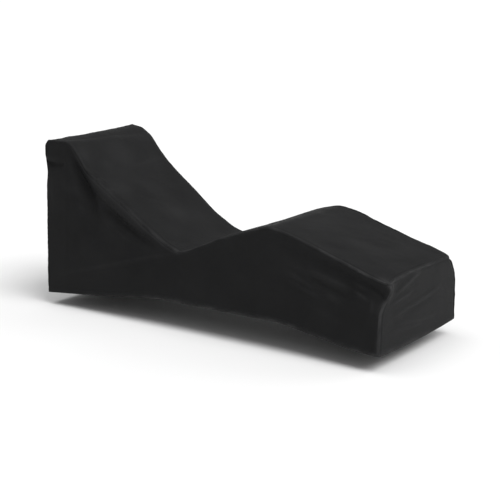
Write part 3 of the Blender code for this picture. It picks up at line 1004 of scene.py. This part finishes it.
def cloth_material():
    material, graph, shader = new_material("charcoal_polyester")
    height = weave_height(graph)
    place = graph.add("ShaderNodeTexCoord").outputs["Object"]
    dye = graph.noise(place, scale=5.0, detail=5.0, roughness=0.6)
    yarn = graph.math("MULTIPLY_ADD", height, WEAVE_SHOWS, dye)
    shade_range = {"Value": yarn, "From Min": 0.1, "From Max": 0.9}
    shade = graph.add("ShaderNodeMapRange", shade_range, interpolation_type="SMOOTHSTEP")
    base = graph.mix(shade.outputs[0], CLOTH_DARK, CLOTH_LIGHT)
    # The attribute mixes in the paler grey: wear, and painted highlights on seams, fold crests and a
    # few spots.
    rub = graph.add("ShaderNodeAttribute", attribute_name="rub").outputs["Fac"]
    wear_and_highlight_share = graph.math("MULTIPLY", rub, graph.noise(place, scale=260.0, detail=3.0))
    gloss_range = {"Value": dye, "From Min": 0.3, "From Max": 0.7, "To Min": 0.48, "To Max": 0.60}
    gloss = graph.add("ShaderNodeMapRange", gloss_range)
    crumple = graph.noise(place, scale=42.0, detail=4.0, roughness=0.55)
    weave = {"Strength": 0.45, "Distance": 0.00022, "Height": height}
    fine = graph.add("ShaderNodeBump", weave).outputs[0]
    creases = {"Strength": 0.35, "Distance": 0.0016, "Height": crumple, "Normal": fine}
    broad = graph.add("ShaderNodeBump", creases).outputs[0]
    finish = {"Base Color": graph.mix(wear_and_highlight_share, base, WEAR_HIGHLIGHT_COLOUR), "Roughness": gloss.outputs[0]}
    graph.fill(shader, finish | {"Normal": broad, "Specular IOR Level": 0.05})
    graph.fill(shader, {"Sheen Weight": 0.01, "Sheen Roughness": 0.45})
    return material


cloth = cloth_material()
print("material:", cloth.name, "with", len(cloth.node_tree.nodes), "nodes")

# %% [markdown]
# ## Where the cloth is painted pale: wear and painted highlights
#
# Painting wear by hand on a map would need a picture. Measuring it from the shape keeps it true to
# the piece. Most goes on the laps and the hem, as wear where hands and rails chafe the cloth and as a
# painted highlight along their rounded edges, and on the near foot corner as a painted highlight.
# Less goes on the crests of folds and on a few patches of the top, also as painted highlights, and
# dust lies faintly wherever it settles on level cloth.

# %% Wear and painted highlights
# Wear and painted highlight along the seams, painted highlight on fold crests, and dust on level cloth.
WEAR_HIGHLIGHT_REACH = 0.012
WEAR_HIGHLIGHT_CELL = 0.055
WEAR_HIGHLIGHT_LEAST = 0.35
WEAR_HIGHLIGHT_SEED = 77
WEAR_HIGHLIGHT_WHERE = (-0.5, 0.6)
CREST_HIGHLIGHT = 24.0
DUST = 0.07
DUST_CELL = 0.11
DUST_SEED = 78
DUSTY_WHERE = (-0.4, 0.8)
# Painted highlights: x, y, height, how far each reaches and how pale it is.
HIGHLIGHT_PLACES = (
    (1.93, -0.31, 0.39, 0.036, 1.0),
    (0.16, -0.27, 0.78, 0.045, 0.25),
    (0.19, -0.02, 0.75, 0.100, 0.20),
    (0.22, -0.14, 0.73, 0.030, 0.15),
    (0.35, -0.20, 0.62, 0.070, 0.20),
    (0.55, 0.01, 0.45, 0.080, 0.16),
    (0.26, 0.18, 0.70, 0.060, 0.10),
    (1.48, -0.05, 0.50, 0.120, 0.10),
)


def rubbed(panel, run_down, run_across):
    """How pale each place is: wear and a painted highlight on seams and hem, painted highlights on the
    crests of folds and a few places, and level dust.
    """
    patches = ease(*WEAR_HIGHLIGHT_WHERE, soft_noise(run_down / WEAR_HIGHLIGHT_CELL, run_across / WEAR_HIGHLIGHT_CELL, WEAR_HIGHLIGHT_SEED))
    # Seams and hem: wear, and a painted highlight along their rounded edges.
    seams = panel["pride"] * bell(panel["nearest"], WEAR_HIGHLIGHT_REACH)
    # The crests of folds get a painted highlight.
    wear_and_highlight_share = seams * (WEAR_HIGHLIGHT_LEAST + (1 - WEAR_HIGHLIGHT_LEAST) * patches) + CREST_HIGHLIGHT * panel["crest"]
    # A few painted highlights, faint on cloth that faces along y.
    for x, y, height, reach, amount in HIGHLIGHT_PLACES:
        away = np.linalg.norm(panel["points"] + origin - (x, y, height), axis=-1)
        wear_and_highlight_share = wear_and_highlight_share + amount * bell(away, reach) * (1 - panel["normals"][..., 1] ** 2)
    dust = ease(*DUSTY_WHERE, soft_noise(run_down / DUST_CELL, run_across / DUST_CELL, DUST_SEED))
    wear_and_highlight_share = wear_and_highlight_share + DUST * dust * np.maximum(panel["normals"][..., 2], 0)
    return np.minimum(wear_and_highlight_share, 1.0)


print("paler places set by hand:", len(HIGHLIGHT_PLACES))

# %% [markdown]
# ## Making the sheets
#
# The grid becomes a mesh with a flat map in metres, and Solidify gives it a millimetre of thickness
# on its inner side. The flat map also says how large the cloth was before it was hung: its longest
# run across and its longest run down.

# %% Build the panels
SHEET = 0.001


def grid_faces(rows, columns, turned):
    index = np.arange(rows * columns).reshape(rows, columns)
    corners = (index[:-1, :-1], index[1:, :-1], index[1:, 1:], index[:-1, 1:])
    quads = np.stack(corners, axis=-1).reshape(-1, 4)
    return quads[:, ::-1] if turned else quads


def placed(name, data):
    """An object that holds this data, at the scene's origin."""
    thing = bpy.data.objects.new(name, data)
    bpy.context.scene.collection.objects.link(thing)
    return thing


def plain(values):
    return values.astype(np.float32).ravel()


def cloth_sheet(name, panel):
    points = panel["points"]
    turn = np.cross(np.gradient(points, axis=0), np.gradient(points, axis=1))
    turned = (turn * panel["normals"]).sum() < 0
    mesh = bpy.data.meshes.new(name + "_cloth")
    faces = grid_faces(*points.shape[:2], turned)
    mesh.from_pydata(points.reshape(-1, 3).tolist(), [], faces.tolist())
    mesh.shade_smooth()
    run_down = runs_from_edges(points, 0)[0]
    run_across = runs_from_edges(points, 1)[0]
    corner_vertex = np.empty(len(mesh.loops), dtype=np.int32)
    mesh.loops.foreach_get("vertex_index", corner_vertex)
    flat_map = np.stack([run_down.ravel(), run_across.ravel()], axis=-1)[corner_vertex]
    mesh.uv_layers.new(name="flat_map").uv.foreach_set("vector", plain(flat_map))
    # How pale the cloth is painted: wear, painted highlights and dust, carried as an attribute.
    rub = rubbed(panel, run_down, run_across)
    mesh.attributes.new("rub", "FLOAT", "POINT").data.foreach_set("value", plain(rub))
    mesh.materials.append(cloth)
    sheet = placed(name + "_cloth", mesh)
    wall = sheet.modifiers.new("thickness", "SOLIDIFY")
    wall.thickness = SHEET
    wall.offset = -1.0
    area = sum(polygon.area for polygon in mesh.polygons)
    return sheet, (float(run_across[:, -1].max()), float(run_down[-1].max())), area


sheets = {}
for name, panel in PANELS.items():
    sheet, flat, area = cloth_sheet(name, panel)
    sheets[name] = {"object": sheet, "flat": flat, "area": area}
    print(name, "flat", round(flat[0], 3), "x", round(flat[1], 3), "m, area", round(area, 3), "m2")

# %% [markdown]
# ## Stitches
#
# A lockstitch shows as a row of short threads, each with a gap where it dips into the cloth. The
# rows run beside the laps and along the hem, so their lines are read off each panel's grid, at a
# fixed distance from its edges.

# %% Find the rows of stitches
STITCH_ROWS = {"lap": LAP_ROWS, "hem": (HEM_ROW,)}
ROW_TRIM = 0.012
THREAD_LIFT = 0.0001


def line_at(points, axis, from_start, distance):
    """The line on a grid that keeps a distance from one of its edges, in order along that edge."""
    grid = points if axis == 0 else points.transpose(1, 0, 2)
    if not from_start:
        grid = grid[::-1]
    run = runs_from_edges(grid, 0)[0]
    columns = range(grid.shape[1])
    places = [[np.interp(distance, run[:, j], grid[:, j, k]) for k in range(3)] for j in columns]
    return np.array(places)


def stitch_lines(name, panel):
    lines = []
    raised = panel["points"] + panel["normals"] * THREAD_LIFT
    for kind, axis, from_start in zip(EDGES[name], (0, 0, 1, 1), (True, False, True, False)):
        for distance in STITCH_ROWS.get(kind, ()):
            line = line_at(raised, axis, from_start, distance)
            run = np.r_[0, np.cumsum(np.linalg.norm(np.diff(line, axis=0), axis=1))]
            inside = (run > ROW_TRIM) & (run < run[-1] - ROW_TRIM)
            lines.append(line[inside])
    return lines


stitch_rows = {name: stitch_lines(name, panel) for name, panel in PANELS.items()}
for name, lines in stitch_rows.items():
    total = sum(np.linalg.norm(np.diff(line, axis=0), axis=1).sum() for line in lines)
    print(name, "has", len(lines), "rows of stitches,", round(total, 2), "m in all")

# %% [markdown]
# ## The thread
#
# Sewing thread is twisted and a touch glossier than the cloth, so its stitches glint. A fine wave
# gives the twist.

# %% Thread material
THREAD_COLOUR = (0.026, 0.026, 0.027, 1.0)


def thread_material():
    material, graph, shader = new_material("charcoal_thread")
    place = graph.add("ShaderNodeTexCoord").outputs["Object"]
    wave = {"Vector": place, "Scale": 900.0, "Distortion": 2.0}
    twist = graph.add("ShaderNodeTexWave", wave).outputs["Fac"]
    ply = graph.add("ShaderNodeBump", {"Strength": 0.4, "Distance": 0.0001, "Height": twist})
    colour = graph.mix(twist, CLOTH_LIGHT, THREAD_COLOUR)
    graph.fill(shader, {"Base Color": colour, "Normal": ply.outputs[0]})
    graph.fill(shader, {"Roughness": 0.5, "Specular IOR Level": 0.4})
    return material


thread = thread_material()
print("material:", thread.name, "with", len(thread.node_tree.nodes), "nodes")

# %% [markdown]
# ## Sewing with Geometry Nodes
#
# Thousands of stitches are too many to model. Geometry Nodes repeat one small capsule instead: the
# rows come in as edges, are cut to the stitch pitch, and each point gets a capsule turned along the
# row, a little longer or shorter than the last.

# %% A Geometry Nodes tree that sews
STITCH_INPUTS = {
    "Pitch": 0.0044,
    "Stitch Length": 0.0034,
    "Thread Thickness": 0.0006,
    "Unevenness": 0.10,
    "Seed": 5,
}
TREE_SOCKETS = (
    ("Geometry", "INPUT", "Geometry"),
    ("Pitch", "INPUT", "Float"),
    ("Stitch Length", "INPUT", "Float"),
    ("Thread Thickness", "INPUT", "Float"),
    ("Unevenness", "INPUT", "Float"),
    ("Seed", "INPUT", "Int"),
    ("Thread", "INPUT", "Material"),
    ("Geometry", "OUTPUT", "Geometry"),
)


def sewing_tree():
    tree = bpy.data.node_groups.new("sewing", "GeometryNodeTree")
    for label, way, kind in TREE_SOCKETS:
        tree.interface.new_socket(label, in_out=way, socket_type="NodeSocket" + kind)
    add = Graph(tree).add
    given = add("NodeGroupInput").outputs
    rows = add("GeometryNodeMeshToCurve", {"Mesh": given["Geometry"]}).outputs["Curve"]
    cut = {"Curve": rows, "Length": given["Pitch"]}
    places = add("GeometryNodeCurveToPoints", cut, mode="LENGTH").outputs
    ball = add("GeometryNodeMeshUVSphere", {"Segments": 6, "Rings": 4, "Radius": 0.5})
    thick = given["Thread Thickness"]
    size = add("ShaderNodeCombineXYZ", {"X": thick, "Y": thick, "Z": given["Stitch Length"]})
    low = add("ShaderNodeMath", {0: 1.0, 1: given["Unevenness"]}, operation="SUBTRACT")
    least = {2: low.outputs[0], "Seed": given["Seed"]}
    chance = add("FunctionNodeRandomValue", least, data_type="FLOAT").outputs[1]
    scaled = {0: size.outputs[0], "Scale": chance}
    uneven = add("ShaderNodeVectorMath", scaled, operation="SCALE").outputs[0]
    copies = {"Points": places["Points"], "Instance": ball.outputs["Mesh"]}
    turned = {"Rotation": places["Rotation"], "Scale": uneven}
    sewn = add("GeometryNodeInstanceOnPoints", copies | turned).outputs["Instances"]
    real = add("GeometryNodeRealizeInstances", {"Geometry": sewn}).outputs[0]
    smooth = add("GeometryNodeSetShadeSmooth", {0: real}).outputs[0]
    finish = {"Geometry": smooth, "Material": given["Thread"]}
    done = add("GeometryNodeSetMaterial", finish).outputs[0]
    add("NodeGroupOutput", {"Geometry": done})
    return tree


sewing = sewing_tree()
print("sewing tree:", len(sewing.nodes), "nodes")

# %% [markdown]
# ## Sewing each panel
#
# The tree runs once for each panel, on a mesh of bare edges, and its result is kept as a plain
# mesh. The tree itself doesn't travel with the piece.

# %% Sew each panel
def rows_mesh(name, lines):
    points = np.concatenate(lines)
    edges = []
    first = 0
    for line in lines:
        edges += [(first + k, first + k + 1) for k in range(len(line) - 1)]
        first += len(line)
    mesh = bpy.data.meshes.new(name)
    mesh.from_pydata(points.tolist(), edges, [])
    return mesh


def set_input(modifier, label, value):
    sockets = modifier.node_group.interface.items_tree
    socket = next(s for s in sockets if s.name == label and s.in_out == "INPUT")
    modifier[socket.identifier] = value


def sew(name, lines):
    rows = placed(name + "_rows", rows_mesh(name + "_rows", lines))
    modifier = rows.modifiers.new("sewing", "NODES")
    modifier.node_group = sewing
    for label, value in STITCH_INPUTS.items():
        set_input(modifier, label, value)
    set_input(modifier, "Thread", thread)
    evaluated = rows.evaluated_get(bpy.context.evaluated_depsgraph_get())
    mesh = bpy.data.meshes.new_from_object(evaluated)
    mesh.name = name + "_stitches"
    mesh.materials.clear()
    mesh.materials.append(thread)
    bpy.data.objects.remove(rows)
    return placed(name + "_stitches", mesh)


stitches = {}
for name, lines in stitch_rows.items():
    stitches[name] = sew(name, lines)
    mesh = stitches[name].data
    print(stitches[name].name, len(mesh.polygons), "faces,", len(mesh.materials), "material")

# %% [markdown]
# ## Putting each piece on the cover's body
#
# The cover has no joint, so everything rides on its one body. Each sheet takes the place of its
# plain panel.

for name, made in sheets.items():
    sheet = made["object"]
    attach(sheet, "root")
    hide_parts(name)
    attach(stitches[name], "root")
print("pieces declared:", len(sheets) + len(stitches))

# %% [markdown]
# ## The studio
#
# A dark cloth shows best in even white light with soft directions in it. The strongest of three
# broad suns stands high beyond the foot, so the top and the foot end face it and the long side
# stays darker. One overhead draws a light line along every rounded seam, and a low one on the far
# side lifts the backrest. Suns are distant, so they light the whole floor alike, and these are so
# broad that their shadows have no edge. The world fills them.

# %% Lights
WORLD_STRENGTH = 0.40
SUNS = (
    ("foot_sun", (0.60, -0.10, 0.80), 1.98),
    ("high_sun", (-0.20, -0.15, 0.95), 0.70),
    ("far_sun", (0.50, 0.75, 0.45), 0.55),
)
SUN_BREADTH = 0.7


def aim(thing, back):
    """Turns a light or a camera so that it looks away from the direction behind it."""
    thing.rotation_euler = Vector(back).to_track_quat("Z", "Y").to_euler()


def make_world():
    world = bpy.data.worlds.new("studio")
    bpy.context.scene.world = world
    world.use_nodes = True
    background = world.node_tree.nodes["Background"]
    background.inputs["Color"].default_value = (1.0, 1.0, 1.0, 1.0)
    background.inputs["Strength"].default_value = WORLD_STRENGTH


make_world()
for name, direction, strength in SUNS:
    data = bpy.data.lights.new(name, "SUN")
    data.energy = strength
    data.angle = SUN_BREADTH
    aim(placed(name, data), direction)
print("suns:", [name for name, _, _ in SUNS])

# %% [markdown]
# ## The floor
#
# A plain pale floor, so wide that its edge is never in view, and matt, so that it mirrors nothing.

# %% Floor
FLOOR_SIZE = 160.0
FLOOR_COLOUR = (0.90, 0.90, 0.90, 1.0)


def make_floor():
    material, graph, shader = new_material("pale_floor")
    finish = {"Base Color": FLOOR_COLOUR, "Roughness": 0.9, "Specular IOR Level": 0.0}
    graph.fill(shader, finish)
    half = FLOOR_SIZE / 2
    corners = ((-half, -half), (half, -half), (half, half), (-half, half))
    mesh = bpy.data.meshes.new("floor")
    mesh.from_pydata([(x, y, -origin[2]) for x, y in corners], [], [(0, 1, 2, 3)])
    mesh.materials.append(material)
    placed("floor", mesh)


make_floor()
print("floor:", FLOOR_SIZE, "m wide,", round(origin[2], 3), "m below the head rail")

# %% [markdown]
# ## The camera
#
# A long lens from some seven metres off keeps the cover's far side nearly as large as its near
# side. It looks down a little, past the foot end and along the right side.

# %% Camera
CAMERA_LENS = 93.94
CAMERA_SENSOR = 36.0
CAMERA_PLACE = (4.574, -5.098, 1.019)
CAMERA_TURN = math.radians(35.306)
CAMERA_DOWN = math.radians(13.636)


def make_camera():
    data = bpy.data.cameras.new("camera")
    data.lens = CAMERA_LENS
    data.sensor_width = CAMERA_SENSOR
    camera = placed("camera", data)
    camera.location = CAMERA_PLACE
    level = math.cos(CAMERA_DOWN)
    back_x = math.sin(CAMERA_TURN) * level
    back_y = -math.cos(CAMERA_TURN) * level
    aim(camera, (back_x, back_y, math.sin(CAMERA_DOWN)))
    bpy.context.scene.camera = camera


make_camera()
bpy.context.scene.view_settings.view_transform = "Standard"
print("camera", round(math.dist(CAMERA_PLACE, (0, 0, 0)), 2), "m from the head rail")

# %% [markdown]
# ## The size of what was made
#
# The cloth may stand a little proud of the packed model, and no more.
